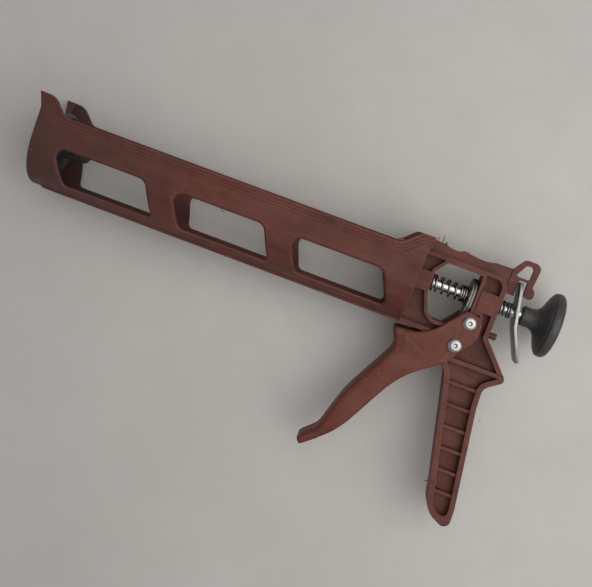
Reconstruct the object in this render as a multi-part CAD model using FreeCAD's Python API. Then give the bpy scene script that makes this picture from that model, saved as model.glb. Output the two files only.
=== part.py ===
import FreeCAD, Part
import math
import os

# Skeleton caulking gun for a standard 50 mm cartridge, lying on its right side.
# The origin is on the rod axis, at the inner face of the cradle's front wall.
# +X runs along the push rod towards the knob, +Y to the open top of the cradle, +Z up.
Vector = FreeCAD.Vector
ALONG_ROD = Vector(1, 0, 0)
UP = Vector(0, 0, 1)

# Cradle
CRADLE_HALF_WIDTH = 27.5
CRADLE_WALL = 2.3
CRADLE_RADIUS_INSIDE = CRADLE_HALF_WIDTH - CRADLE_WALL
FRONT_WALL = 2.4
FRONT_ROUND = 1.4
CRADLE_REAR = 231.0
BULKHEAD = 3.0
WALL_TOP = 16.0
HORN_TOP = 25.0
KEEL_HALF_WIDTH = 7.0
KEEL_BOTTOM = -28.0
KEEL_FRONT = 2.0
NOZZLE_SLOT_RADIUS = 9.5
NOZZLE_SLOT_MOUTH = 23.5
NOZZLE_SLOT_STRAIGHT = 8.0
WINDOW_PITCH = 72.0
WINDOW_COUNT = 3
WINDOW_TOP = -1.5
WINDOW_BOTTOM = -21.5
WINDOW_LENGTH = 55.5
WINDOW_SLANT = 8.5
WINDOW_FIRST = 12.0
WINDOW_BEVEL = 1.2
FIRST_SECTION_END = 80.0
GROOVE_COUNT = 3
GROOVE_PITCH = 1.8
GROOVE_WIDTH = 0.6
GROOVE_DEPTH = 0.4
BEYOND = 40.0  # reaches past the moulding on every side

# Frame, tail and grip
WEB_HALF = 2.0
FLANGE_HALF = 8.0
FLANGE = 2.9
FRAME_TOP = 17.0
FIN_TOP = 23.6
FRAME_REAR = 282.5
GRIP_SPLIT = -37.0
GRIP_RIM = 3.2
GRIP_HEEL = (301.8, -135.2, 4)
HOLLOW_HEEL = (301.5, -133.0, 6)
BLOCK_HALF_HEIGHT = 5.7
FRONT_BLOCK_REAR = 240.5
REAR_BLOCK_FRONT = 269.5
RIB_HALF = 6.8
RIB = 1.8
RIB_PITCH = 12.7
RIB_FIRST = -50.7
RIB_COUNT = 6
STOP_PEG_RADIUS = 2.0
STOP_PEG_END = 287.8
STOP_PEG_HEIGHT = -17.5

# Trigger and its rivets
PIVOT = Vector(265.9, -29.4, 0)
DRIVE_PIN = Vector(269.3, -14.5, 0)
CHEEK_INSIDE = 8.4
CHEEK_OUTSIDE = 10.9
TRIGGER_EDGE_ROUND = 0.9
RIVET_RADIUS = 2.5
RIVET_HEAD_RADIUS = 4.3
RIVET_HEAD_HEIGHT = 1.7
PIVOT_CLEARANCE = 0.06
PLAY = 0.3

# Push rod and what is on it
ROD_RADIUS = 3.0
ROD_CLEARANCE = 0.08
ROD_FRONT = 5.5
ROD_REAR = 311.0
PISTON_RADIUS = 18.5
PISTON_FRONT = 3.5
PISTON_DISC_REAR = 9.5
PISTON_HUB_RADIUS = 6.5
PISTON_HUB_REAR = 25.0
KNOB_FRONT = 296.4
KNOB_NECK_RADIUS = 5.9
KNOB_RIM_RADIUS = 19.5
KNOB_REAR = 317.4

# Plates and springs
DRIVE_PLATE = 1.5
DRIVE_PLATE_REAR = 266.4
DRIVE_PLATE_RADIUS = 10.0
DRIVE_TONGUE_HALF = 6.0
RELEASE_PLATE = 2.0
RELEASE_PLATE_HALF = 8.0
RELEASE_HOLE_RADIUS = 3.8
SPRING_WIRE = 1.1
DRIVE_SPRING_RADIUS = 4.5
RELEASE_SPRING_RADIUS = 4.2


def outline(corners):
    """Closed wire through (x, y, radius) corners, each rounded by a tangent arc."""
    starts = []
    edges = []
    ends = []
    for k, (x, y, radius) in enumerate(corners):
        corner = Vector(x, y, 0)
        x_before, y_before, _ = corners[k - 1]
        x_after, y_after, _ = corners[(k + 1) % len(corners)]
        back = (Vector(x_before, y_before, 0) - corner).normalize()
        on = (Vector(x_after, y_after, 0) - corner).normalize()
        half_angle = back.getAngle(on) / 2
        reach = radius / math.tan(half_angle)
        start = corner + back * reach
        end = corner + on * reach
        starts.append(start)
        ends.append(end)
        if radius > 0:
            inward = (back + on).normalize()
            middle = corner + inward * (radius / math.sin(half_angle) - radius)
            edges.append(Part.Arc(start, middle, end).toShape())
    for k, end in enumerate(ends):
        start = starts[(k + 1) % len(corners)]
        edges.append(Part.LineSegment(end, start).toShape())
    return Part.Wire(Part.__sortEdges__(edges))


def extrude(wire, low, high):
    face = Part.Face(wire)
    face.translate(Vector(0, 0, low))
    return face.extrude(Vector(0, 0, high - low))


def prism(corners, half_width):
    return extrude(outline(corners), -half_width, half_width)


def box(x_low, x_high, y_low, y_high, half_width):
    size = (x_high - x_low, y_high - y_low, 2 * half_width)
    return Part.makeBox(*size, Vector(x_low, y_low, -half_width))


def rod_cylinder(radius, x_low, x_high):
    return Part.makeCylinder(radius, x_high - x_low, Vector(x_low, 0, 0), ALONG_ROD)


def upright_cylinder(centre, radius, low, high):
    return Part.makeCylinder(radius, high - low, centre + UP * low, UP)


def turned(profile):
    """Solid of revolution about the rod axis, from (x, radius) points."""
    wire = Part.makePolygon([Vector(x, radius, 0) for x, radius in profile + profile[:1]])
    return Part.Face(wire).revolve(Vector(0, 0, 0), ALONG_ROD, 360)


def rim_corners(front, rear):
    """Side outline of the cradle, with its raised horn in front and raised rear end."""
    return [
        (front, -BEYOND, 0),
        (rear, -BEYOND, 0),
        (rear, WALL_TOP, 0),
        (rear + 2, HORN_TOP, 0),
        (225.0, HORN_TOP, 3),
        (215.5, WALL_TOP, 6),
        (12.7, WALL_TOP, 5.5),
        (4.2, HORN_TOP + 0.3, 9.5),
        (front - 3.0, HORN_TOP + 0.5, 0),
        (front, 17.0, 4),
    ]


def trough(radius, front, rear):
    floor = rod_cylinder(radius, front, rear)
    walls = box(front, rear, 0, BEYOND, radius)
    return floor.fuse(walls)


def window_corners(first):
    return [
        (first, WINDOW_TOP, 5),
        (first + WINDOW_SLANT, WINDOW_BOTTOM, 4),
        (first + WINDOW_SLANT + WINDOW_LENGTH, WINDOW_BOTTOM, 2.5),
        (first + WINDOW_LENGTH, WINDOW_TOP, 6),
    ]


def rim_groove(depth_below_rim):
    """Pair of shallow grooves that follow the top edge on the outside of both walls."""
    corners = rim_corners(-BEYOND, CRADLE_REAR + BEYOND)
    corners[8] = (-BEYOND, HORN_TOP, 0)
    corners.pop(9)
    rim = Part.Face(outline(corners))
    upper = rim.makeOffset2D(-(depth_below_rim - GROOVE_WIDTH / 2))
    lower = rim.makeOffset2D(-(depth_below_rim + GROOVE_WIDTH / 2))
    strip = upper.cut(lower)
    strip.translate(Vector(0, 0, -BEYOND))
    band = strip.extrude(Vector(0, 0, 2 * BEYOND))
    band = band.common(box(-20, CRADLE_REAR + 9, 5, BEYOND, BEYOND))
    core = box(-BEYOND, CRADLE_REAR + BEYOND, 0, BEYOND, CRADLE_HALF_WIDTH - GROOVE_DEPTH)
    return band.cut(core)


def nozzle_slot():
    """U-shaped slot in the front wall, flaring towards the open top."""
    corners = [
        (-NOZZLE_SLOT_RADIUS, 0),
        (-NOZZLE_SLOT_RADIUS, NOZZLE_SLOT_STRAIGHT),
        (-NOZZLE_SLOT_MOUTH, HORN_TOP + 5),
        (NOZZLE_SLOT_MOUTH, HORN_TOP + 5),
        (NOZZLE_SLOT_RADIUS, NOZZLE_SLOT_STRAIGHT),
        (NOZZLE_SLOT_RADIUS, 0),
    ]
    points = [Vector(-20, y, z) for z, y in corners]
    flare = Part.Face(Part.makePolygon(points + points[:1])).extrude(Vector(25, 0, 0))
    return flare.fuse(rod_cylinder(NOZZLE_SLOT_RADIUS, -20, 5))


def is_outer_window_edge(edge):
    """True for an edge where a window's side meets the round outside of the cradle."""
    middle = edge.valueAt((edge.FirstParameter + edge.LastParameter) / 2)
    on_outside = abs(math.hypot(middle.y, middle.z) - CRADLE_HALF_WIDTH) < 0.05
    in_height = WINDOW_BOTTOM - 0.1 < middle.y < WINDOW_TOP + 0.1
    return on_outside and in_height and WINDOW_FIRST - 1 < middle.x < CRADLE_REAR - 2


def is_front_edge(edge):
    """True for an edge between the front face and the outside below the horn."""
    middle = edge.valueAt((edge.FirstParameter + edge.LastParameter) / 2)
    on_front = abs(edge.CenterOfMass.x + FRONT_WALL) < 0.01
    return on_front and math.hypot(middle.y, middle.z) > CRADLE_HALF_WIDTH - 0.05


def whole_cradle():
    outside = trough(CRADLE_HALF_WIDTH, -20, CRADLE_REAR + 10)
    keel = prism([
        (KEEL_FRONT, -20, 0),
        (KEEL_FRONT, KEEL_BOTTOM, 6),
        (CRADLE_REAR, KEEL_BOTTOM, 0),
        (CRADLE_REAR, -20, 0),
    ], KEEL_HALF_WIDTH)
    side = prism(rim_corners(-FRONT_WALL, CRADLE_REAR), BEYOND)
    outside = outside.fuse(keel).common(side)
    inside = trough(CRADLE_RADIUS_INSIDE, 0, CRADLE_REAR - BULKHEAD)
    body = outside.cut(inside)
    behind = box(CRADLE_REAR, CRADLE_REAR + 10, -BEYOND, BEYOND, CRADLE_RADIUS_INSIDE)
    body = body.cut(behind)
    body = body.cut(nozzle_slot())
    body = body.cut(rod_cylinder(ROD_RADIUS + PLAY, 200, CRADLE_REAR + 10))
    for k in range(WINDOW_COUNT):
        opening = prism(window_corners(WINDOW_FIRST + k * WINDOW_PITCH), BEYOND)
        body = body.cut(opening)
    body = body.Solids[0]
    window_edges = [edge for edge in body.Edges if is_outer_window_edge(edge)]
    body = body.makeChamfer(WINDOW_BEVEL, window_edges)
    front_edges = [edge for edge in body.Edges if is_front_edge(edge)]
    body = body.makeFillet(FRONT_ROUND, front_edges)
    for k in range(GROOVE_COUNT):
        body = body.cut(rim_groove(GROOVE_PITCH * (k + 1)))
    return body


def cradle_section(x_low, x_high):
    """One of three lengths of the cradle, which meet beside the pillars between the windows."""
    return whole_cradle().common(box(x_low, x_high, -BEYOND, BEYOND, BEYOND))


def cradle_front():
    return cradle_section(-20, FIRST_SECTION_END)


def cradle_middle():
    return cradle_section(FIRST_SECTION_END, FIRST_SECTION_END + WINDOW_PITCH)


def cradle_rear():
    return cradle_section(FIRST_SECTION_END + WINDOW_PITCH, CRADLE_REAR + 5)


def frame_corners():
    return [
        (CRADLE_REAR, KEEL_BOTTOM, 0),
        (249.5, KEEL_BOTTOM, 8),
        (258.5, GRIP_SPLIT, 0),
        (299.1, GRIP_SPLIT, 0),
        (FRAME_REAR, -19.0, 3),
        (FRAME_REAR, FRAME_TOP, 7),
        (CRADLE_REAR, FRAME_TOP, 0),
    ]


def fin_corners():
    """Wavy top edge of the web, standing above the flange from the tail to the cradle."""
    return [
        (FRAME_REAR, FIN_TOP, 0),
        (273.0, FIN_TOP - 0.4, 12),
        (265.5, FIN_TOP - 1.8, 14),
        (254.5, FIN_TOP - 0.5, 14),
        (247.5, FIN_TOP - 1.8, 14),
        (240.0, FIN_TOP, 12),
        (CRADLE_REAR, FIN_TOP + 0.4, 0),
    ]


def frame_hollow_corners():
    """Inside line of the flange; it runs out at the cradle and at the grip."""
    return [
        (CRADLE_REAR - 1, KEEL_BOTTOM + FLANGE, 0),
        (250.7, KEEL_BOTTOM + FLANGE, 6),
        (263.5, GRIP_SPLIT - 1, 0),
        (296.2, GRIP_SPLIT - 1, 0),
        (FRAME_REAR - FLANGE, -20.2, 2),
        (FRAME_REAR - FLANGE, FRAME_TOP - 2.3, 5),
        (CRADLE_REAR - 1, FRAME_TOP - 2.3, 0),
    ]


def chamber_corners():
    """Opening in the web for the drive spring, the drive plates and the drive rivet."""
    return [
        (FRONT_BLOCK_REAR, 7.0, 0.5),
        (245.8, 13.7, 0.5),
        (267.2, 13.7, 0.5),
        (267.2, -8.3, 0.5),
        (273.6, -8.3, 1),
        (273.6, -20.0, 3),
        (249.0, -20.0, 3),
        (244.6, -17.0, 2),
        (FRONT_BLOCK_REAR, -6.0, 0.5),
    ]


def frame():
    web = prism(frame_corners()[:5] + fin_corners(), WEB_HALF)
    flange = prism(frame_corners(), FLANGE_HALF).cut(prism(frame_hollow_corners(), 20))
    chamber = outline(chamber_corners())
    around = Part.Face(chamber).makeOffset2D(2.0)
    around.translate(Vector(0, 0, -FLANGE_HALF))
    collar = around.extrude(Vector(0, 0, 2 * FLANGE_HALF))
    collar = collar.common(prism(frame_corners(), FLANGE_HALF))
    front_block = box(CRADLE_REAR, FRONT_BLOCK_REAR, -BLOCK_HALF_HEIGHT, BLOCK_HALF_HEIGHT, 8)
    rear_block = box(REAR_BLOCK_FRONT, FRAME_REAR, -6.4, BLOCK_HALF_HEIGHT, 8.4)
    boss = upright_cylinder(PIVOT, 5.2, -8.1, 8.1)
    peg = rod_cylinder(STOP_PEG_RADIUS, FRAME_REAR - 2, STOP_PEG_END)
    peg.translate(Vector(0, STOP_PEG_HEIGHT, 0))
    body = web.fuse([flange, collar])
    body = body.cut(extrude(chamber, -20, 20))
    body = body.fuse([front_block, rear_block, boss, peg]).removeSplitter()
    body = body.cut(rod_cylinder(ROD_RADIUS + ROD_CLEARANCE, 200, 300))
    return body.cut(upright_cylinder(PIVOT, RIVET_RADIUS, -20, 20))


def tail():
    """Flat tail with the hanging loop, and the notch that holds the release plate."""
    solid = prism([
        (FRAME_REAR, 8.9, 0),
        (288.0, 8.9, 0.4),
        (288.0, 18.6, 0.8),
        (293.3, 18.6, 0.8),
        (293.5, 9.7, 2.6),
        (299.0, 9.7, 2.6),
        (299.0, 14.6, 2.0),
        (296.7, 17.0, 1.0),
        (297.9, 31.0, 4.0),
        (288.0, 31.0, 3.0),
        (282.9, FIN_TOP, 1.0),
        (FRAME_REAR, FIN_TOP, 0),
    ], WEB_HALF)
    loop = prism([
        (285.0, 20.3, 1.0),
        (289.2, 28.0, 2.0),
        (294.1, 28.0, 2.0),
        (294.0, 20.3, 1.2),
    ], 10)
    return solid.cut(loop)


def grip_corners(top, heel):
    """Side outline of the grip, from its top down to the heel corner and back up."""
    return [
        (258.5, top, 0),
        (266.5, -46.5, 10),
        (270.4, -62.0, 40),
        (282.2, -111.0, 60),
        (285.3, -127.0, 15),
        heel,
        (301.2, -121.0, 25),
        (291.2, -60.0, 40),
        (290.4, -47.5, 6),
        (301.3, -39.6, 2.6),
        (298.9, top, 0),
    ]


def grip():
    outside = prism(grip_corners(GRIP_SPLIT, GRIP_HEEL), FLANGE_HALF)
    above_split = GRIP_SPLIT + 1.2
    hollow = Part.Face(outline(grip_corners(above_split, HOLLOW_HEEL))).makeOffset2D(-GRIP_RIM)
    hollow.translate(Vector(0, 0, -20))
    hollow = hollow.extrude(Vector(0, 0, 40))
    web = prism(grip_corners(GRIP_SPLIT, GRIP_HEEL), WEB_HALF)
    body = outside.cut(hollow).fuse(web)
    for k in range(RIB_COUNT):
        height = RIB_FIRST - k * RIB_PITCH
        rib = box(250, 310, height - RIB / 2, height + RIB / 2, RIB_HALF)
        body = body.fuse(rib.common(outside))
    return body.removeSplitter()


def trigger_corners():
    return [
        (228.6, -30.9, 1.2),
        (248.0, -29.5, 25),
        (265.7, -7.6, 5),
        (276.6, -9.2, 7),
        (276.8, -22.5, 10),
        (264.3, -41.2, 12),
        (243.0, -57.0, 55),
        (220.0, -101.6, 60),
        (201.3, -117.4, 2),
        (198.0, -113.4, 1.5),
        (208.2, -103.8, 6),
        (215.5, -78.0, 80),
        (234.2, -42.3, 7),
    ]


def trigger():
    """Channel-shaped lever: two cheeks joined by a wall along the finger side."""
    solid = prism(trigger_corners(), CHEEK_OUTSIDE)
    rim = [e for e in solid.Edges if abs(abs(e.CenterOfMass.z) - CHEEK_OUTSIDE) < 0.01]
    solid = solid.makeFillet(TRIGGER_EDGE_ROUND, rim)
    channel = prism([
        (241.0, 10, 0),
        (241.0, -33.8, 2),
        (235.3, -33.8, 1),
        (237.2, -41.8, 5),
        (218.3, -78.6, 70),
        (211.4, -102.5, 4),
        (207.0, -107.0, 1),
        (216.0, -116.0, 0),
        (310.0, -116.0, 0),
        (310.0, 10, 0),
    ], CHEEK_INSIDE)
    solid = solid.cut(channel)
    solid = solid.cut(upright_cylinder(PIVOT, RIVET_RADIUS + PIVOT_CLEARANCE, -20, 20))
    return solid.cut(upright_cylinder(DRIVE_PIN, RIVET_RADIUS, -20, 20))


def rivet(centre, gap):
    """Rivet through both cheeks: a domed head below, a rolled tubular end above."""
    seat = CHEEK_OUTSIDE + gap
    shank = upright_cylinder(centre, RIVET_RADIUS, -seat, seat)
    sphere_radius = (RIVET_HEAD_RADIUS ** 2 + RIVET_HEAD_HEIGHT ** 2) / (2 * RIVET_HEAD_HEIGHT)
    drop = sphere_radius - RIVET_HEAD_HEIGHT
    upper = Part.makeSphere(sphere_radius, centre + UP * (seat - drop))
    upper = upper.common(upright_cylinder(centre, RIVET_HEAD_RADIUS, seat, seat + 10))
    lower = Part.makeSphere(sphere_radius, centre - UP * (seat - drop))
    lower = lower.common(upright_cylinder(centre, RIVET_HEAD_RADIUS, -seat - 10, -seat))
    dimple = Part.makeCone(0.7, 1.6, 1.2, centre + UP * (seat + 0.7), UP)
    return shank.fuse([upper, lower]).cut(dimple).removeSplitter()


def pivot_rivet():
    return rivet(PIVOT, PLAY)


def drive_rivet():
    return rivet(DRIVE_PIN, 0)


def push_rod():
    return rod_cylinder(ROD_RADIUS, ROD_FRONT, ROD_REAR)


def piston():
    solid = turned([
        (PISTON_FRONT, 0),
        (PISTON_FRONT, PISTON_RADIUS - 1.2),
        (PISTON_FRONT + 1.0, PISTON_RADIUS),
        (PISTON_DISC_REAR - 1.0, PISTON_RADIUS),
        (PISTON_DISC_REAR, PISTON_RADIUS - 0.8),
        (PISTON_DISC_REAR, PISTON_RADIUS - 2.6),
        (PISTON_DISC_REAR - 2.4, PISTON_RADIUS - 3.6),
        (PISTON_DISC_REAR - 2.4, PISTON_HUB_RADIUS + 2.6),
        (PISTON_DISC_REAR, PISTON_HUB_RADIUS + 0.6),
        (PISTON_HUB_REAR - 1.5, PISTON_HUB_RADIUS),
        (PISTON_HUB_REAR, PISTON_HUB_RADIUS - 1.2),
        (PISTON_HUB_REAR, 0),
    ])
    return solid.cut(rod_cylinder(ROD_RADIUS, ROD_FRONT, PISTON_HUB_REAR + 1))


def knob():
    solid = turned([
        (KNOB_FRONT, 0),
        (KNOB_FRONT, KNOB_NECK_RADIUS - 0.6),
        (KNOB_FRONT + 0.6, KNOB_NECK_RADIUS),
        (303.2, KNOB_NECK_RADIUS),
        (305.6, 7.4),
        (307.6, 10.2),
        (308.9, 14.0),
        (310.3, 17.2),
        (312.0, 19.0),
        (313.6, KNOB_RIM_RADIUS),
        (315.4, 19.3),
        (316.8, 18.0),
        (KNOB_REAR, 15.6),
        (KNOB_REAR, 0),
    ])
    return solid.cut(rod_cylinder(ROD_RADIUS, KNOB_FRONT - 1, ROD_REAR))


def drive_plate(rear):
    """Steel plate across the rod: round top, and a tongue down to the drive rivet."""
    top = rod_cylinder(DRIVE_PLATE_RADIUS, rear - DRIVE_PLATE, rear)
    top.translate(Vector(0, 0.6, 0))
    middle = box(rear - DRIVE_PLATE, rear, -6.5, 0.6, DRIVE_PLATE_RADIUS)
    lower = box(rear - DRIVE_PLATE, rear, -18.0, -6.5, DRIVE_TONGUE_HALF)
    above = box(rear - 5, rear + 5, -6.5, 20, 20)
    plate = top.common(above).fuse([middle, lower]).removeSplitter()
    return plate.cut(rod_cylinder(ROD_RADIUS + PLAY, rear - 5, rear + 5))


def drive_plate_front():
    return drive_plate(DRIVE_PLATE_REAR - DRIVE_PLATE)


def drive_plate_rear():
    return drive_plate(DRIVE_PLATE_REAR)


def release_plate():
    """Bent steel plate: the top hooks in the tail's notch, the foot is the thumb lever."""
    top = Vector(289.5, 17.6, 0)
    bend = Vector(294.9, -8.0, 0)
    foot = Vector(303.4, -27.0, 0)
    half = RELEASE_PLATE / 2
    upper_side = Vector(top.y - bend.y, bend.x - top.x, 0).normalize() * half
    lower_side = Vector(bend.y - foot.y, foot.x - bend.x, 0).normalize() * half
    mitre = (upper_side + lower_side).normalize() * half
    points = [
        top + upper_side,
        bend + mitre,
        foot + lower_side,
        foot - lower_side,
        bend - mitre,
        top - upper_side,
    ]
    bent = extrude(Part.makePolygon(points + points[:1]), -20, 20)
    corner = RELEASE_PLATE_HALF - 3.5
    shape = [
        (corner, 20),
        (RELEASE_PLATE_HALF, 13),
        (RELEASE_PLATE_HALF, -23),
        (corner, -30),
        (-corner, -30),
        (-RELEASE_PLATE_HALF, -23),
        (-RELEASE_PLATE_HALF, 13),
        (-corner, 20),
    ]
    face_points = [Vector(270, y, z) for z, y in shape]
    front = Part.Face(Part.makePolygon(face_points + face_points[:1])).extrude(Vector(50, 0, 0))
    return bent.common(front).cut(rod_cylinder(RELEASE_HOLE_RADIUS, 270, 310))


def spring(front, rear, radius, closed_front, open_turns, closed_rear):
    """Compression spring on the rod axis, with closed turns of touching wire at its ends."""
    closed_pitch = SPRING_WIRE + 0.06
    closed = (closed_front + closed_rear) * closed_pitch
    open_pitch = (rear - front - SPRING_WIRE - closed) / open_turns
    turns = closed_front + open_turns + closed_rear
    steps = round(turns * 16)
    points = []
    for k in range(steps + 1):
        turn = turns * k / steps
        opened = min(max(turn - closed_front, 0), open_turns)
        x = front + SPRING_WIRE / 2 + (turn - opened) * closed_pitch + opened * open_pitch
        angle = 2 * math.pi * turn
        points.append(Vector(x, radius * math.cos(angle), radius * math.sin(angle)))
    path = Part.BSplineCurve()
    path.interpolate(points)
    section = Part.Wire(Part.Circle(points[0], path.tangent(0)[0], SPRING_WIRE / 2).toShape())
    return Part.Wire(path.toShape()).makePipeShell([section], True, True)


def drive_spring():
    front = FRONT_BLOCK_REAR + PLAY
    rear = DRIVE_PLATE_REAR - 2 * DRIVE_PLATE - PLAY
    return spring(front, rear, DRIVE_SPRING_RADIUS, 1, 4, 2.5)


def release_spring():
    return spring(FRAME_REAR + PLAY, 290.6, RELEASE_SPRING_RADIUS, 0.75, 1.5, 1.25)


PARTS = [
    cradle_front,
    cradle_middle,
    cradle_rear,
    frame,
    tail,
    grip,
    trigger,
    pivot_rivet,
    drive_rivet,
    push_rod,
    piston,
    knob,
    drive_plate_front,
    drive_plate_rear,
    drive_spring,
    release_plate,
    release_spring,
]

os.makedirs("parts", exist_ok=True)
for make in PARTS:
    shape = make()
    shape.exportStep("parts/" + make.__name__ + ".step")
    print(make.__name__, shape.ShapeType, shape.isValid(), round(shape.Volume), shape.BoundBox)
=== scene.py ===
import math

import bmesh
import bpy
from mathutils import Matrix, Vector


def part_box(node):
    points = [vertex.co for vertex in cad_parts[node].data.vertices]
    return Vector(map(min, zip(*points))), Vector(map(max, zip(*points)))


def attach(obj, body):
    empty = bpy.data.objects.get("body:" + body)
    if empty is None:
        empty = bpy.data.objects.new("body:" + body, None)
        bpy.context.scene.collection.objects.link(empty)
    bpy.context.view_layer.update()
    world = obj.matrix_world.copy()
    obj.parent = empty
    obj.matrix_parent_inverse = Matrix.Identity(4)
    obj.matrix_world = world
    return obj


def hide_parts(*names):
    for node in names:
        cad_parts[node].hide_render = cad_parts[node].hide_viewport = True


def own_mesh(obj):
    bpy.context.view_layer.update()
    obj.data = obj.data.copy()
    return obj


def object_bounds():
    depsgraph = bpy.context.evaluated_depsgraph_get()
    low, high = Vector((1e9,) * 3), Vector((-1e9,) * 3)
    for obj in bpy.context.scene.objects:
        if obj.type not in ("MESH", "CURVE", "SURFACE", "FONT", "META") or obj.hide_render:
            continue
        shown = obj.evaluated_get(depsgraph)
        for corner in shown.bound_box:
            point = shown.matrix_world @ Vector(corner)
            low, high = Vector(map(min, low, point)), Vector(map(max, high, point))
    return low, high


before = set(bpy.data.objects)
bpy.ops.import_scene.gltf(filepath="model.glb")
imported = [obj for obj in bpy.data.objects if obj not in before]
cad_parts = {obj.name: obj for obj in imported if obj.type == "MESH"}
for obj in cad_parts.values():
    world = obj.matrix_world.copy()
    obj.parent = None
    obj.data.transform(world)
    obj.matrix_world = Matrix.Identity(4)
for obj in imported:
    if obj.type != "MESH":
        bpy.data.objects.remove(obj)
cad_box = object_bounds()

MM = 0.001
scene = bpy.context.scene

# Colours, linear red, green and blue
BROWN_DEEP = (0.086, 0.026, 0.018)
BROWN_BRIGHT = (0.148, 0.043, 0.031)
BROWN_DUSTY = (0.200, 0.092, 0.076)
# Colour of the painted shade towards the body's front end
BROWN_FRONT_SHADE = (0.070, 0.036, 0.032)
TRIGGER_DEEP = (0.106, 0.028, 0.017)
TRIGGER_BRIGHT = (0.162, 0.042, 0.025)
PALE_DUST = (0.55, 0.47, 0.42)
BLACK_DEEP = (0.028, 0.028, 0.029)
BLACK_BRIGHT = (0.050, 0.049, 0.048)
BLACK_DUSTY = (0.21, 0.19, 0.17)
BLACK_RUBBED = (0.10, 0.095, 0.09)
BLACK_SPECK = (0.42, 0.38, 0.34)
ROD_LIGHT = (0.72, 0.72, 0.72)
ROD_DARK = (0.36, 0.35, 0.34)
RELEASE_LIGHT = (0.40, 0.41, 0.41)
RELEASE_DARK = (0.20, 0.195, 0.19)
DRIVE_LIGHT = (0.22, 0.22, 0.215)
DRIVE_DARK = (0.10, 0.097, 0.093)
SPRING_LIGHT = (0.50, 0.50, 0.50)
SPRING_DARK = (0.08, 0.095, 0.09)
RIVET_LIGHT = (0.50, 0.50, 0.49)
RIVET_DARK = (0.22, 0.21, 0.20)
RUST = (0.16, 0.11, 0.08)
# Colour of the painted shade in the steel's crevices
CREVICE_SHADE = (0.05, 0.045, 0.04)
TABLE_DEEP = (0.55, 0.53, 0.51)
TABLE_BRIGHT = (0.60, 0.585, 0.565)
TABLE_SMUDGE = (0.52, 0.49, 0.47)
TABLE_GRIT = (0.16, 0.13, 0.12)
SIDE_LIGHT = (1.0, 0.95, 0.885)
OVERHEAD_LIGHT = (1.0, 0.985, 0.97)
ROOM_LIGHT = (0.97, 0.98, 1.0, 1)

# Lengths are in millimetres, or in metres where MM is in them
# Length over which painted shade darkens the body towards its front end
FRONT_SHADE_LENGTH = 110
ROD_RADIUS = 3.0


# ---------------------------------------------------------------- shader helpers

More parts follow.
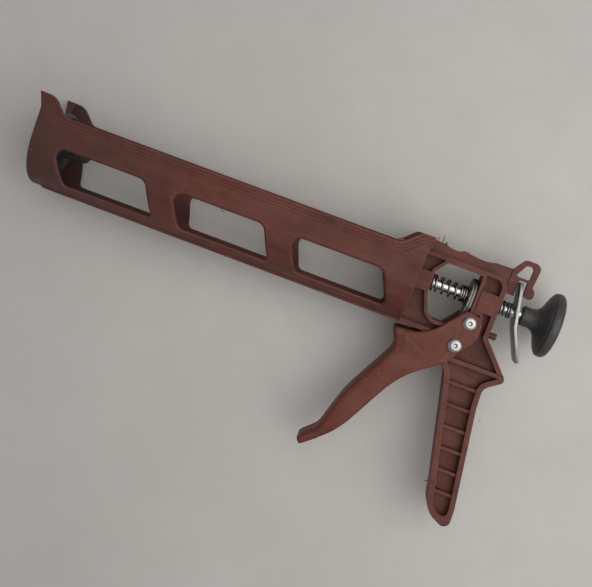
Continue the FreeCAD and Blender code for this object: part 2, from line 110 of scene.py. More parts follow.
class Shader:
    """A Principled material that is built up node by node, in millimetres."""

    def __init__(self, name):
        self.material = bpy.data.materials.new(name)
        self.material.use_nodes = True
        self.tree = self.material.node_tree
        self.tree.nodes.clear()
        self.surface = self.add("ShaderNodeBsdfPrincipled")
        output = self.add("ShaderNodeOutputMaterial")
        self.link(self.surface.outputs[0], output.inputs["Surface"])
        place = self.add("ShaderNodeTexCoord")
        self.millimetres = self.stretched(place.outputs["Object"], (1000, 1000, 1000))

    def add(self, kind, **settings):
        made = self.tree.nodes.new(kind)
        for key, value in settings.items():
            setattr(made, key, value)
        return made

    def link(self, output, socket):
        self.tree.links.new(output, socket)

    def put(self, socket, value):
        if isinstance(value, bpy.types.NodeSocket):
            self.link(value, socket)
        else:
            socket.default_value = value

    def stretched(self, vector, scale):
        mapping = self.add("ShaderNodeMapping")
        self.put(mapping.inputs["Vector"], vector)
        mapping.inputs["Scale"].default_value = scale
        return mapping.outputs[0]

    def noise(self, size, detail=3, roughness=0.55, stretch=(1, 1, 1), shift=0.0):
        """Noise from 0 to 1 in patches of about that size in mm, longer where stretch is small."""
        vector = self.stretched(self.millimetres, [s / size for s in stretch])
        if shift:
            vector.node.inputs["Location"].default_value = (shift, shift * 0.7, -shift)
        made = self.add("ShaderNodeTexNoise")
        self.put(made.inputs["Vector"], vector)
        made.inputs["Scale"].default_value = 1.0
        made.inputs["Detail"].default_value = detail
        made.inputs["Roughness"].default_value = roughness
        return made.outputs["Fac"]

    def specks(self, size, radius, share, shift=0.0):
        """1 inside scattered round specks and 0 elsewhere."""
        vector = self.stretched(self.millimetres, (1 / size, 1 / size, 1 / size))
        vector.node.inputs["Location"].default_value = (shift, shift, shift)
        cells = self.add("ShaderNodeTexVoronoi")
        self.put(cells.inputs["Vector"], vector)
        cells.inputs["Scale"].default_value = 1.0
        inside = self.ramp(cells.outputs["Distance"], radius * 0.6, radius, 1, 0)
        chosen = self.add("ShaderNodeSeparateColor")
        self.put(chosen.inputs[0], cells.outputs["Color"])
        kept = self.ramp(chosen.outputs[0], share, share + 0.01, 1, 0)
        return self.math("MULTIPLY", inside, kept)

    def ramp(self, value, low, high, at_low=0.0, at_high=1.0):
        made = self.add("ShaderNodeMapRange")
        made.clamp = True
        self.put(made.inputs["Value"], value)
        made.inputs["From Min"].default_value = low
        made.inputs["From Max"].default_value = high
        made.inputs["To Min"].default_value = at_low
        made.inputs["To Max"].default_value = at_high
        return made.outputs["Result"]

    def math(self, operation, first, second=0.0):
        made = self.add("ShaderNodeMath", operation=operation)
        self.put(made.inputs[0], first)
        self.put(made.inputs[1], second)
        return made.outputs[0]

    def mix(self, factor, first, second):
        made = self.add("ShaderNodeMix", data_type="RGBA")
        self.put(made.inputs["Factor"], factor)
        for socket, value in ((made.inputs[6], first), (made.inputs[7], second)):
            self.put(socket, value if isinstance(value, bpy.types.NodeSocket) else (*value, 1))
        return made.outputs[2]

    def edges(self, radius):
        """1 along convex and concave edges, falling to 0 within the radius in mm."""
        rounded = self.add("ShaderNodeBevel", samples=4)
        rounded.inputs["Radius"].default_value = radius * MM
        flat = self.add("ShaderNodeNewGeometry")
        product = self.add("ShaderNodeVectorMath", operation="DOT_PRODUCT")
        self.put(product.inputs[0], rounded.outputs[0])
        self.put(product.inputs[1], flat.outputs["Normal"])
        return self.ramp(product.outputs["Value"], 0.75, 0.995, 1, 0)

    def crevices(self, distance):
        """1 in inside corners tighter than the distance in mm, and 0 on open surfaces."""
        around = self.add("ShaderNodeAmbientOcclusion", samples=6)
        around.inputs["Distance"].default_value = distance * MM
        return self.ramp(around.outputs["AO"], 0.35, 0.95, 1, 0)

    def along(self):
        """Distance along the rod, in mm."""
        parts = self.add("ShaderNodeSeparateXYZ")
        self.put(parts.inputs[0], self.millimetres)
        return parts.outputs["X"]

    def upward(self):
        """1 on what faces straight up, 0 on walls."""
        flat = self.add("ShaderNodeNewGeometry")
        parts = self.add("ShaderNodeSeparateXYZ")
        self.put(parts.inputs[0], flat.outputs["Normal"])
        return parts.outputs["Z"]

    def relief(self, steps, edge_radius=0.0):
        """Stacks bumps, each (height output, millimetres high), over rounded edges."""
        normal = None
        if edge_radius:
            rounded = self.add("ShaderNodeBevel", samples=6)
            rounded.inputs["Radius"].default_value = edge_radius * MM
            normal = rounded.outputs[0]
        for height, amount in steps:
            bump = self.add("ShaderNodeBump")
            bump.inputs["Distance"].default_value = amount * MM
            self.put(bump.inputs["Height"], height)
            if normal:
                self.put(bump.inputs["Normal"], normal)
            normal = bump.outputs[0]
        self.put(self.surface.inputs["Normal"], normal)

    def finish(self, colour, roughness, metallic=0.0, **sockets):
        self.put(self.surface.inputs["Base Color"], colour)
        self.put(self.surface.inputs["Roughness"], roughness)
        self.surface.inputs["Metallic"].default_value = metallic
        for key, value in sockets.items():
            self.surface.inputs[key.replace("_", " ")].default_value = value
        return self.material


def moulded_plastic(name, deep, bright, dusty, gloss, edge_radius):
    """Cheap reddish-brown plastic: flow marks, lighter edges (partly wear, partly painted highlight),
    scratches, painted shade in the corners and towards the front end, dust.
    """
    s = Shader(name)
    clouds = s.noise(30, 4, 0.6)
    flow = s.noise(7, 3, 0.6, stretch=(0.18, 1, 1))
    fine = s.noise(1.1, 4, 0.7)
    colour = s.mix(s.ramp(clouds, 0.32, 0.68), deep, bright)
    colour = s.mix(s.ramp(flow, 0.42, 0.8, 0, 0.42), colour, dusty)
    blotches = s.noise(11, 4, 0.7, shift=14)
    colour = s.mix(s.ramp(blotches, 0.5, 0.72, 0, 0.45), colour, [c * 1.35 for c in bright])
    patches = s.ramp(s.noise(40, 3, shift=21), 0.3, 0.6, 0.5, 1)
    # Painted shade: the body is darkened, in patches, towards its front end
    front_shade = s.math("MULTIPLY", s.ramp(s.along(), 0, FRONT_SHADE_LENGTH, 0.85, 0), patches)
    colour = s.mix(front_shade, colour, BROWN_FRONT_SHADE)
    colour = s.mix(s.ramp(fine, 0.35, 0.75, 0, 0.22), colour, [c * 0.62 for c in deep])
    # Lighter edges: partly wear, partly a painted highlight along the edges
    lightened_edges = s.math("MULTIPLY", s.edges(0.8), s.ramp(s.noise(5, 3), 0.35, 0.65, 0.3, 0.85))
    colour = s.mix(lightened_edges, colour, [c * 1.9 + 0.02 for c in bright])
    # Painted shade: inside corners are darkened, unevenly
    uneven = s.ramp(s.noise(9, 3, shift=3), 0.3, 0.7, 0.1, 0.45)
    corners = s.math("MULTIPLY", s.crevices(3.0), uneven)
    colour = s.mix(corners, colour, [c * 0.45 for c in deep])
    scratch = s.noise(0.9, 2, 0.5, stretch=(0.035, 1.2, 0.6), shift=5)
    scratch = s.ramp(scratch, 0.70, 0.76)
    colour = s.mix(s.math("MULTIPLY", scratch, 0.3), colour, dusty)
    dust = s.specks(5.0, 0.055, 0.35)
    colour = s.mix(s.math("MULTIPLY", dust, 0.75), colour, PALE_DUST)
    roughness = s.ramp(s.noise(14, 4, 0.65, shift=9), 0.25, 0.75, gloss - 0.07, gloss + 0.12)
    roughness = s.math("ADD", roughness, s.math("MULTIPLY", dust, 0.3))
    ripple = s.noise(3.5, 3)
    s.relief([(clouds, 0.45), (ripple, 0.09), (fine, 0.05), (scratch, -0.03)], edge_radius)
    return s.finish(colour, roughness, Specular_IOR_Level=0.26)


def black_plastic(name):
    """Black plastic with grey dust on what faces up, and rubbed grey edges."""
    s = Shader(name)
    clouds = s.noise(9, 4, 0.65)
    colour = s.mix(s.ramp(clouds, 0.3, 0.7), BLACK_DEEP, BLACK_BRIGHT)
    drifts = s.ramp(s.noise(4, 4, 0.7), 0.35, 0.75)
    settled = s.math("MULTIPLY", s.ramp(s.upward(), 0.0, 0.9), drifts)
    colour = s.mix(s.math("MULTIPLY", settled, 0.22), colour, BLACK_DUSTY)
    lightened_edges = s.math("MULTIPLY", s.edges(0.8), s.ramp(s.noise(3, 3), 0.3, 0.6, 0.1, 0.7))
    colour = s.mix(lightened_edges, colour, BLACK_RUBBED)
    specks = s.specks(2.5, 0.07, 0.35)
    colour = s.mix(s.math("MULTIPLY", specks, 0.6), colour, BLACK_SPECK)
    rings = s.noise(0.6, 2, 0.5, stretch=(1, 0.05, 0.05))
    s.relief([(clouds, 0.15), (s.noise(0.5, 3), 0.02), (rings, 0.015)], 0.5)
    roughness = s.ramp(clouds, 0.3, 0.75, 0.38, 0.58)
    return s.finish(colour, roughness, Specular_IOR_Level=0.45)


def steel(name, light, dark, smooth, grain, tarnish, edge_radius):
    """Plated or drawn steel. grain stretches the brushing along the axes it is small for."""
    s = Shader(name)
    brushed = s.noise(0.5, 4, 0.6, stretch=grain)
    clouds = s.noise(3.2, 4, 0.65)
    colour = s.mix(s.ramp(clouds, 0.35, 0.8, 0, tarnish), light, dark)
    colour = s.mix(s.ramp(brushed, 0.45, 0.8, 0, 0.35), colour, dark)
    spots = s.specks(1.6, 0.16, 0.14)
    colour = s.mix(s.math("MULTIPLY", spots, 0.5), colour, RUST)
    # Painted shade: crevices are darkened
    corners = s.crevices(1.2)
    colour = s.mix(s.math("MULTIPLY", corners, 0.5), colour, CREVICE_SHADE)
    roughness = s.ramp(brushed, 0.3, 0.75, smooth, smooth + 0.16)
    roughness = s.math("ADD", roughness, s.math("MULTIPLY", spots, 0.3))
    s.relief([(brushed, 0.012), (clouds, 0.04)], edge_radius)
    return s.finish(colour, roughness, 1.0)


def table_top():
    """Pale painted table with faint smudges, specks and a little unevenness."""
    s = Shader("table_top")
    clouds = s.noise(120, 4, 0.6)
    smudge = s.noise(22, 4, 0.65)
    colour = s.mix(s.ramp(clouds, 0.3, 0.7), TABLE_DEEP, TABLE_BRIGHT)
    colour = s.mix(s.ramp(smudge, 0.45, 0.8, 0, 0.25), colour, TABLE_SMUDGE)
    grit = s.specks(34, 0.018, 0.4)
    colour = s.mix(s.math("MULTIPLY", grit, 0.8), colour, TABLE_GRIT)
    s.relief([(smudge, 0.10), (s.noise(1.5, 3), 0.01)])
    return s.finish(colour, s.ramp(smudge, 0.3, 0.7, 0.42, 0.6), Specular_IOR_Level=0.3)


body_look = moulded_plastic("body_look", BROWN_DEEP, BROWN_BRIGHT, BROWN_DUSTY,
                            gloss=0.50, edge_radius=0.55)
trigger_look = moulded_plastic("trigger_look", TRIGGER_DEEP, TRIGGER_BRIGHT, BROWN_DUSTY,
                               gloss=0.46, edge_radius=0.3)
black_look = black_plastic("black_look")
rod_look = steel("rod_look", ROD_LIGHT, ROD_DARK,
                 smooth=0.12, grain=(0.04, 1, 1), tarnish=0.25, edge_radius=0)
release_look = steel("release_look", RELEASE_LIGHT, RELEASE_DARK,
                     smooth=0.36, grain=(1, 0.08, 1), tarnish=0.5, edge_radius=0.25)
drive_look = steel("drive_look", DRIVE_LIGHT, DRIVE_DARK,
                   smooth=0.42, grain=(1, 0.3, 0.3), tarnish=0.6, edge_radius=0.25)
spring_look = steel("spring_look", SPRING_LIGHT, SPRING_DARK,
                    smooth=0.17, grain=(1, 1, 1), tarnish=0.8, edge_radius=0)
rivet_look = steel("rivet_look", RIVET_LIGHT, RIVET_DARK,
                   smooth=0.24, grain=(1, 1, 0.1), tarnish=0.6, edge_radius=0)


# ---------------------------------------------------------------- mesh helpers

def new_piece(name, mesh, look, body, slot, *nodes):
    """Adds a piece that moves with a body and stands for the CAD nodes, if any are given."""
    piece = bpy.data.objects.new(name, mesh)
    scene.collection.objects.link(piece)
    mesh.materials.clear()
    mesh.materials.append(look)
    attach(piece, body)
    if nodes:
        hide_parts(*nodes)
    return piece


def mark_sharp(mesh, degrees):
    """Shades the mesh smooth, with a hard line wherever faces meet at more than that angle."""
    work = bmesh.new()
    work.from_mesh(mesh)
    for face in work.faces:
        face.smooth = True
    for edge in work.edges:
        edge.smooth = edge.calc_face_angle(0) < math.radians(degrees)
    work.to_mesh(mesh)
    work.free()


def node_mesh(node, shift=None):
    """A welded copy of a CAD node's mesh; shift(point) may move single points."""
    work = bmesh.new()
    work.from_mesh(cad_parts[node].data)
    bmesh.ops.remove_doubles(work, verts=work.verts, dist=0.002 * MM)
    if shift:
        for point in work.verts:
            shift(point.co)
    mesh = bpy.data.meshes.new(node + "_copy")
    work.to_mesh(mesh)
    work.free()
    return mesh


def applied(mesh, *modifiers):
    """The mesh with modifiers, each (type, settings), applied to it."""
    holder = bpy.data.objects.new("holder", mesh)
    scene.collection.objects.link(holder)
    for kind, settings in modifiers:
        modifier = holder.modifiers.new(kind, kind)
        for key, value in settings.items():
            setattr(modifier, key, value)
    bpy.context.view_layer.update()
    graph = bpy.context.evaluated_depsgraph_get()
    made = bpy.data.meshes.new_from_object(holder.evaluated_get(graph))
    bpy.data.objects.remove(holder)
    return made


def lathe(name, profile, centre, axis, segments):
    """Turns (along, radius) points, in mm from centre, about an axis through centre."""
    turn = Vector((0, 0, 1)).rotation_difference(Vector(axis)).to_matrix().to_4x4()
    place = Matrix.Translation(centre) @ turn
    work = bmesh.new()
    rings = []
    for along, radius in profile:
        if radius < 1e-6:
            rings.append([work.verts.new(place @ Vector((0, 0, along * MM)))])
            continue
        ring = []
        for k in range(segments):
            angle = 2 * math.pi * k / segments
            x, y = radius * MM * math.cos(angle), radius * MM * math.sin(angle)
            ring.append(work.verts.new(place @ Vector((x, y, along * MM))))
        rings.append(ring)
    for one, two in zip(rings, rings[1:]):
        for k in range(segments):
            m = (k + 1) % segments
            corners = [one[k % len(one)], one[m % len(one)], two[m % len(two)], two[k % len(two)]]
            work.faces.new(list(dict.fromkeys(corners)))
    bmesh.ops.recalc_face_normals(work, faces=work.faces)
    mesh = bpy.data.meshes.new(name)
    work.to_mesh(mesh)
    work.free()
    return mesh


def rounded_profile(corners, steps=4):
    """(along, radius, rounding) corners with each rounding drawn as a short curve."""
    points = []
    for k, (a, r, rounding) in enumerate(corners):
        here = Vector((a, r))
        if rounding == 0 or k in (0, len(corners) - 1):
            points.append(tuple(here))
            continue
        before = Vector(corners[k - 1][:2]) - here
        after = Vector(corners[k + 1][:2]) - here
        start = here + before.normalized() * min(rounding, before.length * 0.48)
        end = here + after.normalized() * min(rounding, after.length * 0.48)
        for j in range(steps + 1):
            t = j / steps
            curve = start * (1 - t) ** 2 + here * (2 * t * (1 - t)) + end * t ** 2
            points.append(tuple(curve))
    return points


def swept(name, points, radius, sides, taper=0):
    """A round bar through the points; its ends narrow over the last taper points."""
    work = bmesh.new()
    rings = []
    up = Vector((0, 0, 1))
    for k, point in enumerate(points):
        ahead = points[min(k + 1, len(points) - 1)]
        behind = points[max(k - 1, 0)]
        along = (ahead - behind).normalized()
        side = along.cross(up)
        side = (side if side.length > 1e-3 else along.cross(Vector((0, 1, 0)))).normalized()
        up = side.cross(along).normalized()
        from_end = min(k, len(points) - 1 - k)
        r = radius * (math.sqrt(min(1, (from_end + 0.35) / taper)) if taper else 1)
        ring = []
        for j in range(sides):
            angle = 2 * math.pi * j / sides
            offset = side * math.cos(angle) + up * math.sin(angle)
            ring.append(work.verts.new(point + offset * r))
        rings.append(ring)
    for one, two in zip(rings, rings[1:]):
        for j in range(sides):
            m = (j + 1) % sides
            work.faces.new((one[j], one[m], two[m], two[j]))
    work.faces.new(list(reversed(rings[0])))
    work.faces.new(rings[-1])
    bmesh.ops.recalc_face_normals(work, faces=work.faces)
    mesh = bpy.data.meshes.new(name)
    work.to_mesh(mesh)
    work.free()
    return mesh


# ---------------------------------------------------------------- body moulding

SPLIT_OVERLAP = 0.4 * MM


def cradle_mesh():
    """The three lengths of the cradle, welded where they meet, without the faces between them."""
    joints = [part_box("cradle_middle")[0].x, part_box("cradle_middle")[1].x]
    work = bmesh.new()
    for node in ("cradle_front", "cradle_middle", "cradle_rear"):
        work.from_mesh(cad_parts[node].data)
    inner = [f for f in work.faces
             if any(all(abs(v.co.x - x) < 0.002 * MM for v in f.verts) for x in joints)]
    bmesh.ops.delete(work, geom=inner, context="FACES")
    bmesh.ops.remove_doubles(work, verts=work.verts, dist=0.01 * MM)
    mesh = bpy.data.meshes.new("cradle_joined")
    work.to_mesh(mesh)
    work.free()
    return mesh


def joined_body():
    """The six nodes of the one moulding, united so that no seam shows between them."""
    frame_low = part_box("frame")[0]
    tail_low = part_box("tail")[0]
    grip_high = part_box("grip")[1]

    def into_cradle(point):
        if abs(point.x - frame_low.x) < 0.01 * MM:
            point.x -= SPLIT_OVERLAP

    def tail_into_frame(point):
        if point.x < tail_low.x + 0.2 * MM:
            point.x -= SPLIT_OVERLAP

    def grip_into_frame(point):
        if abs(point.y - grip_high.y) < 0.01 * MM:
            point.y += SPLIT_OVERLAP

    holder = bpy.data.objects.new("union", cradle_mesh())
    scene.collection.objects.link(holder)
    tools = []
    shifts = {"frame": into_cradle, "tail": tail_into_frame, "grip": grip_into_frame}
    for node, shift in shifts.items():
        tool = bpy.data.objects.new("tool_" + node, node_mesh(node, shift))
        scene.collection.objects.link(tool)
        tools.append(tool)
        union = holder.modifiers.new(node, "BOOLEAN")
        union.operation = "UNION"
        union.solver = "EXACT"
        union.object = tool
    bpy.context.view_layer.update()
    graph = bpy.context.evaluated_depsgraph_get()
    mesh = bpy.data.meshes.new_from_object(holder.evaluated_get(graph))
    for thing in [holder, *tools]:
        bpy.data.objects.remove(thing)
    return mesh


body_mesh = joined_body()
mark_sharp(body_mesh, 28)
new_piece("body_moulding", body_mesh, body_look, "body", "body_plastic",
          "cradle_front", "cradle_middle", "cradle_rear", "frame", "tail", "grip")


def flash(name, node, radius, points):
    """A stray thread, lump or bead of plastic on the moulding.

    Its points are mm behind a node's front, above its top and left of the middle plane.
    """
    low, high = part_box(node)
    origin = Vector((low.x, high.y, 0))
    path = [origin + Vector(p) * MM for p in points]
    mesh = swept(name, path, radius * MM, 8, 2)
    mark_sharp(mesh, 60)
    new_piece(name, mesh, body_look, "body", "body_plastic")


MOULDING_REMAINS = {
    "rim_lump": ("cradle_rear", 0.75, [
        (60.4, -9.0, 27.0), (61.4, -8.1, 27.1), (62.6, -7.7, 27.0), (63.8, -7.4, 26.9), (64.8, -7.8, 26.8),
    ]),
    "top_hair_1": ("frame", 0.34, [(5.4, -1.0, 1.6), (4.9, 1.0, 2.0), (5.3, 2.8, 2.2)]),
    "top_hair_2": ("frame", 0.36, [(7.6, -1.4, 1.8), (7.9, 1.4, 2.1), (7.2, 4.0, 2.2)]),
    "top_hair_3": ("frame", 0.75, [(9.4, -2.0, 1.5), (10.3, -0.6, 1.9), (9.9, 0.8, 2.3)]),
    "fin_lump_1": ("frame", 0.75, [
        (19.6, -1.8, 1.2), (21.4, -1.3, 1.4), (23.6, -1.1, 1.4), (25.6, -1.6, 1.2),
    ]),
    "fin_lump_2": ("frame", 0.7, [(31.6, -2.6, 1.2), (33.2, -2.3, 1.4), (35.0, -2.5, 1.3)]),
    "fin_lump_3": ("frame", 0.75, [(39.4, -1.8, 1.2), (41.0, -1.3, 1.4), (43.4, -1.2, 1.3)]),
    "floor_nib_1": ("cradle_middle", 0.5, [
        (42.2, -42.9, 13.0), (43.4, -43.4, 13.4), (44.4, -43.0, 13.2),
    ]),
    "floor_nib_2": ("cradle_middle", 0.55, [
        (58.0, -42.6, 13.2), (59.4, -43.4, 13.6), (60.6, -42.8, 13.2),
    ]),
    "window_nib": ("cradle_middle", 0.35, [
        (33.6, -17.3, 26.8), (34.6, -18.4, 26.9), (36.2, -18.7, 26.9),
    ]),
    "grip_nib": ("grip", 0.35, [(24.9, -76.0, -6.2), (23.3, -76.8, -6.6), (22.5, -77.9, -6.8)]),
}
for name, (node, radius, points) in MOULDING_REMAINS.items():
    flash(name, node, radius, points)


PANEL_LEFT = 11.8
PANEL_RIGHT = 59.2
PANEL_MIDDLE = -11.1
PANEL_RADIUS = 4.5
BEAD_SUNK = 0.08


def panel_points():
    """Round-ended outline of the panel on the wall; its bead runs out along the lower side."""
    left = PANEL_LEFT + PANEL_RADIUS
    right = PANEL_RIGHT - PANEL_RADIUS
    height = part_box("cradle_middle")[1].z / MM - BEAD_SUNK
    flat = [(left + 6, PANEL_MIDDLE - PANEL_RADIUS), (left, PANEL_MIDDLE - PANEL_RADIUS)]
    turns = [math.pi * k / 16 for k in range(17)]
    for angle in turns[1:]:
        across, up = PANEL_RADIUS * math.sin(angle), PANEL_RADIUS * math.cos(angle)
        flat.append((left - across, PANEL_MIDDLE - up))
    for k in range(1, 12):
        flat.append((left + (right - left) * k / 12, PANEL_MIDDLE + PANEL_RADIUS))
    for angle in turns:
        across, up = PANEL_RADIUS * math.sin(angle), PANEL_RADIUS * math.cos(angle)
        flat.append((right + across, PANEL_MIDDLE + up))
    flat.append((right - 8, PANEL_MIDDLE - PANEL_RADIUS))
    return [(x, y, height) for x, y in flat]


flash("panel_bead", "cradle_middle", 0.26, panel_points())


# ---------------------------------------------------------------- trigger

HEAD_LENGTH = 32 * MM
FINGER_ROUNDING = 12
FRONT_ROUNDING = 60
CHEEK_OUTSIDE = 10.9 * MM
CHEEK_SKIN = CHEEK_OUTSIDE - 1.6 * MM
FACING_FORWARD = -0.2
FADE_STEP = 0.8 * MM
TRIGGER_CREASES = [  # start and end in mm from the pivot, half width and depth in mm
    ((0.3, 10.8), (0.0, 4.8), 0.7, 0.35),
    ((-3.3, -3.8), (-7.3, -11.4), 0.8, 0.35),
    ((-30.7, -2.4), (-17.3, -8.8), 1.4, 0.16),
    ((-31.5, -3.6), (-29.5, -12.6), 3.4, 0.45),
]


def press_line(work, pivot, start, end, width, depth):
    """Presses a shallow crease, in mm from the pivot, into the trigger's upper face."""
    a, b = pivot + Vector(start) * MM, pivot + Vector(end) * MM
    along = b - a
    for v in work.verts:
        if v.co.z < CHEEK_OUTSIDE - 2 * MM:
            continue
        here = Vector((v.co.x, v.co.y))
        t = min(1, max(0, (here - a).dot(along) / along.length_squared))
        off = (here - a - along * t).length / (width * MM)
        if off < 1:
            v.co.z -= depth * MM * (0.5 + 0.5 * math.cos(math.pi * off))


def soften(work, points, head_front, rounds):
    """Rounds the points in front of the trigger's head, fading out towards it."""
    for step in range(rounds):
        limit = head_front - FADE_STEP * (step % 12)
        bmesh.ops.smooth_vert(work, verts=[v for v in points if v.co.x < limit], factor=0.5,
                              use_axis_x=True, use_axis_y=True, use_axis_z=True)


def trigger_mesh():
    """The trigger, with its finger part worked round and its head left crisp."""
    mesh = applied(node_mesh("trigger"), ("REMESH", {"mode": "VOXEL", "voxel_size": 0.5 * MM}))
    mesh = applied(mesh, ("SMOOTH", {"factor": 0.5, "iterations": 3}))
    work = bmesh.new()
    work.from_mesh(mesh)
    head_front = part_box("trigger")[1].x - HEAD_LENGTH
    soften(work, work.verts, head_front, FINGER_ROUNDING)
    work.normal_update()
    outer = [v for v in work.verts if abs(v.co.z) > CHEEK_SKIN or v.normal.x < FACING_FORWARD]
    soften(work, outer, head_front, FRONT_ROUNDING)
    low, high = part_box("pivot_rivet")
    pivot = Vector(((low.x + high.x) / 2, (low.y + high.y) / 2))
    for start, end, width, depth in TRIGGER_CREASES:
        press_line(work, pivot, start, end, width, depth)
    work.to_mesh(mesh)
    work.free()
    return mesh


lever_mesh = trigger_mesh()
mark_sharp(lever_mesh, 180)
new_piece("trigger_lever", lever_mesh, trigger_look, "trigger", "trigger_plastic", "trigger")


# ---------------------------------------------------------------- rivets

UPPER_HEAD = 1.55
LOWER_HEAD = 1.7
SHANK_RADIUS = 2.5


def rivet(name, node, body_name):
    """A rivet with a domed head below and a rolled, dimpled end above."""
    low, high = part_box(node)
    centre = Vector(((low.x + high.x) / 2, (low.y + high.y) / 2, 0))
    radius = (high.x - low.x) / 2 / MM
    top, bottom = high.z / MM, low.z / MM
    seat = top - UPPER_HEAD
    lower_seat = bottom + LOWER_HEAD
    shape = rounded_profile([
        (bottom, 0, 0), (bottom + 0.12, radius * 0.45, 0.8), (bottom + 0.7, radius * 0.84, 0.9),
        (lower_seat - 0.15, radius, 0.3), (lower_seat, radius, 0), (lower_seat, SHANK_RADIUS, 0),
        (seat, SHANK_RADIUS, 0), (seat, radius, 0.1), (seat + 0.4, radius, 0.5),
        (top - 0.3, radius * 0.76, 1.2), (top, radius * 0.45, 0.7), (top - 0.1, radius * 0.30, 0.3),
        (top - 0.5, radius * 0.17, 0.2), (top - 0.5, 0, 0),
    ])
    mesh = lathe(name, shape, centre, (0, 0, 1), 64)
    mark_sharp(mesh, 50)
    new_piece(name, mesh, rivet_look, body_name, "rivet_steel", node)


rivet("pivot_rivet_turned", "pivot_rivet", "body")
rivet("drive_rivet_turned", "drive_rivet", "trigger")


# ---------------------------------------------------------------- rod, piston and knob

def turned_piece(name, node, look, slot, segments, sharp, corners):
    """A piece turned about the rod; corners are (mm behind its front, radius, rounding)."""
    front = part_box(node)[0].x
    mesh = lathe(name, rounded_profile(corners), Vector((front, 0, 0)), (1, 0, 0), segments)
    mark_sharp(mesh, sharp)
    new_piece(name, mesh, look, "rod", slot, node)


rod_length = (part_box("push_rod")[1].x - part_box("push_rod")[0].x) / MM
turned_piece("rod_turned", "push_rod", rod_look, "rod_steel", segments=48, sharp=35, corners=[
    (0, 0, 0), (0, ROD_RADIUS - 0.5, 0), (0.5, ROD_RADIUS, 0.3),
    (rod_length - 0.5, ROD_RADIUS, 0.3), (rod_length, ROD_RADIUS - 0.5, 0), (rod_length, 0, 0),
])

turned_piece("piston_turned", "piston", black_look, "black_plastic", segments=96, sharp=50, corners=[
    (0, 0, 0), (0, 17.1, 1.0), (1.0, 18.5, 0.6), (5.0, 18.5, 0.8), (6.0, 17.7, 0.4), (6.0, 16.0, 0.5),
    (3.6, 15.0, 0.8), (3.6, 9.5, 1.4), (6.0, 7.1, 1.2), (20.0, 6.5, 0.8), (21.5, 5.3, 0.5),
    (21.5, ROD_RADIUS, 0),
])

turned_piece("knob_turned", "knob", black_look, "black_plastic", segments=96, sharp=50, corners=[
    (0, ROD_RADIUS, 0), (0, 5.3, 0.4), (0.6, 5.9, 0.5), (6.6, 5.9, 2.0), (9.0, 7.2, 1.6),
    (11.0, 10.0, 1.8), (12.5, 14.0, 1.8), (13.8, 16.9, 0.6), (14.5, 17.2, 0.2), (14.5, 18.0, 0.2),
    (15.2, 19.0, 0.5), (17.0, 19.5, 1.0), (19.0, 19.3, 1.0), (20.4, 18.0, 1.2), (21.0, 15.6, 1.2),
    (20.4, 8.0, 3.0), (20.2, 0, 0),
])


# ---------------------------------------------------------------- plates

PLATE_ROUNDING = 0.3 * MM


def plate(name, node, body_name, look):
    """A steel plate from its CAD node, with its edges rounded."""
    mesh = node_mesh(node)
    work = bmesh.new()
    work.from_mesh(mesh)
    bmesh.ops.dissolve_limit(work, angle_limit=math.radians(1), verts=work.verts, edges=work.edges)
    work.to_mesh(mesh)
    work.free()
    mesh = applied(mesh, ("BEVEL", {
        "width": PLATE_ROUNDING, "segments": 3, "limit_method": "ANGLE", "angle_limit": math.radians(35),
    }))
    mark_sharp(mesh, 40)
    new_piece(name, mesh, look, body_name, "plate_steel", node)


plate("drive_plate_front_rounded", "drive_plate_front", "drive", drive_look)
plate("drive_plate_rear_rounded", "drive_plate_rear", "drive", drive_look)
plate("release_plate_rounded", "release_plate", "release", release_look)


# ---------------------------------------------------------------- springs

WIRE = 1.3


def coil(name, node, radius, closed_front, open_turns, closed_rear):
    """A compression spring about the rod, as long as its node, with closed end turns."""
    front, rear = [corner.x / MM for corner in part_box(node)]
    pitch_closed = WIRE * 1.05
    closed = (closed_front + closed_rear) * pitch_closed
    pitch_open = (rear - front - WIRE - closed) / open_turns
    turns = closed_front + open_turns + closed_rear
    steps = round(turns * 40)
    points = []
    for k in range(steps + 1):
        turn = turns * k / steps
        opened = min(max(turn - closed_front, 0), open_turns)
        x = front + WIRE / 2 + (turn - opened) * pitch_closed + opened * pitch_open
        angle = 2 * math.pi * turn
        points.append(Vector((x, radius * math.cos(angle), radius * math.sin(angle))) * MM)
    mesh = swept(name, points, WIRE / 2 * MM, 12)
    mark_sharp(mesh, 60)
    return new_piece(name, mesh, spring_look, "body", "spring_steel", node)


drive_spring = coil("drive_spring_coil", "drive_spring", radius=4.7,
                    closed_front=1, open_turns=4, closed_rear=2.5)
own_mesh(drive_spring)

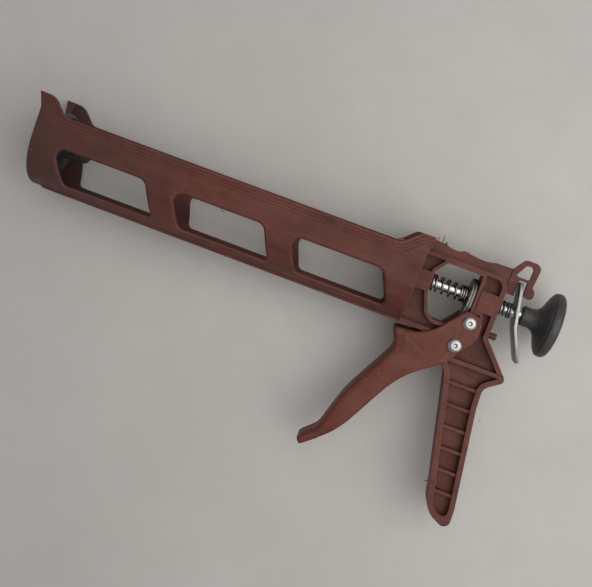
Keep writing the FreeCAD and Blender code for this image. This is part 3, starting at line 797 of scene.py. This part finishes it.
release_spring = coil("release_spring_coil", "release_spring", radius=4.2,
                      closed_front=0.75, open_turns=1.5, closed_rear=1.25)
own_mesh(release_spring)


# ---------------------------------------------------------------- table, light and camera

TABLE_HALF = 1.6
ROOM_STRENGTH = 0.31
CAMERA_PLACE = (0.19289, 0.02432, 0.54275)
CAMERA_RIGHT = (0.93517, 0.34535, -0.07865)
CAMERA_UP = (-0.35148, 0.93226, -0.08576)
CAMERA_LENS = 56.0

table_mesh = bpy.data.meshes.new("table")
work = bmesh.new()
bmesh.ops.create_grid(work, x_segments=1, y_segments=1, size=TABLE_HALF)
work.to_mesh(table_mesh)
work.free()
table_mesh.materials.append(table_top())
table = bpy.data.objects.new("table", table_mesh)
scene.collection.objects.link(table)
table.location = ((cad_box[0].x + cad_box[1].x) / 2, 0, cad_box[0].z)


def area_light(name, place, target, size, power, colour):
    """A round soft light at a place, aimed at a target."""
    data = bpy.data.lights.new(name, "AREA")
    data.shape = "DISK"
    data.size = size
    data.energy = power
    data.color = colour
    lamp = bpy.data.objects.new(name, data)
    scene.collection.objects.link(lamp)
    lamp.location = place
    lamp.rotation_euler = (Vector(place) - Vector(target)).to_track_quat("Z", "Y").to_euler()


area_light("side", place=(0.62, 0.02, 0.55), target=(0.26, -0.04, 0),
           size=0.90, power=2.6, colour=SIDE_LIGHT)
area_light("overhead", place=(0.40, 0.22, 0.90), target=(0.22, 0.0, 0),
           size=1.1, power=2.4, colour=OVERHEAD_LIGHT)

world = bpy.data.worlds.new("room")
world.use_nodes = True
scene.world = world
background = world.node_tree.nodes["Background"]
background.inputs["Color"].default_value = ROOM_LIGHT
background.inputs["Strength"].default_value = ROOM_STRENGTH

camera_data = bpy.data.cameras.new("camera")
camera_data.sensor_width = 36
camera_data.lens = CAMERA_LENS
camera = bpy.data.objects.new("camera", camera_data)
scene.collection.objects.link(camera)
right = Vector(CAMERA_RIGHT)
upward = Vector(CAMERA_UP)
turn = Matrix((right, upward, right.cross(upward))).transposed().to_4x4()
camera.matrix_world = Matrix.Translation(CAMERA_PLACE) @ turn
scene.camera = camera
scene.view_settings.view_transform = "Standard"
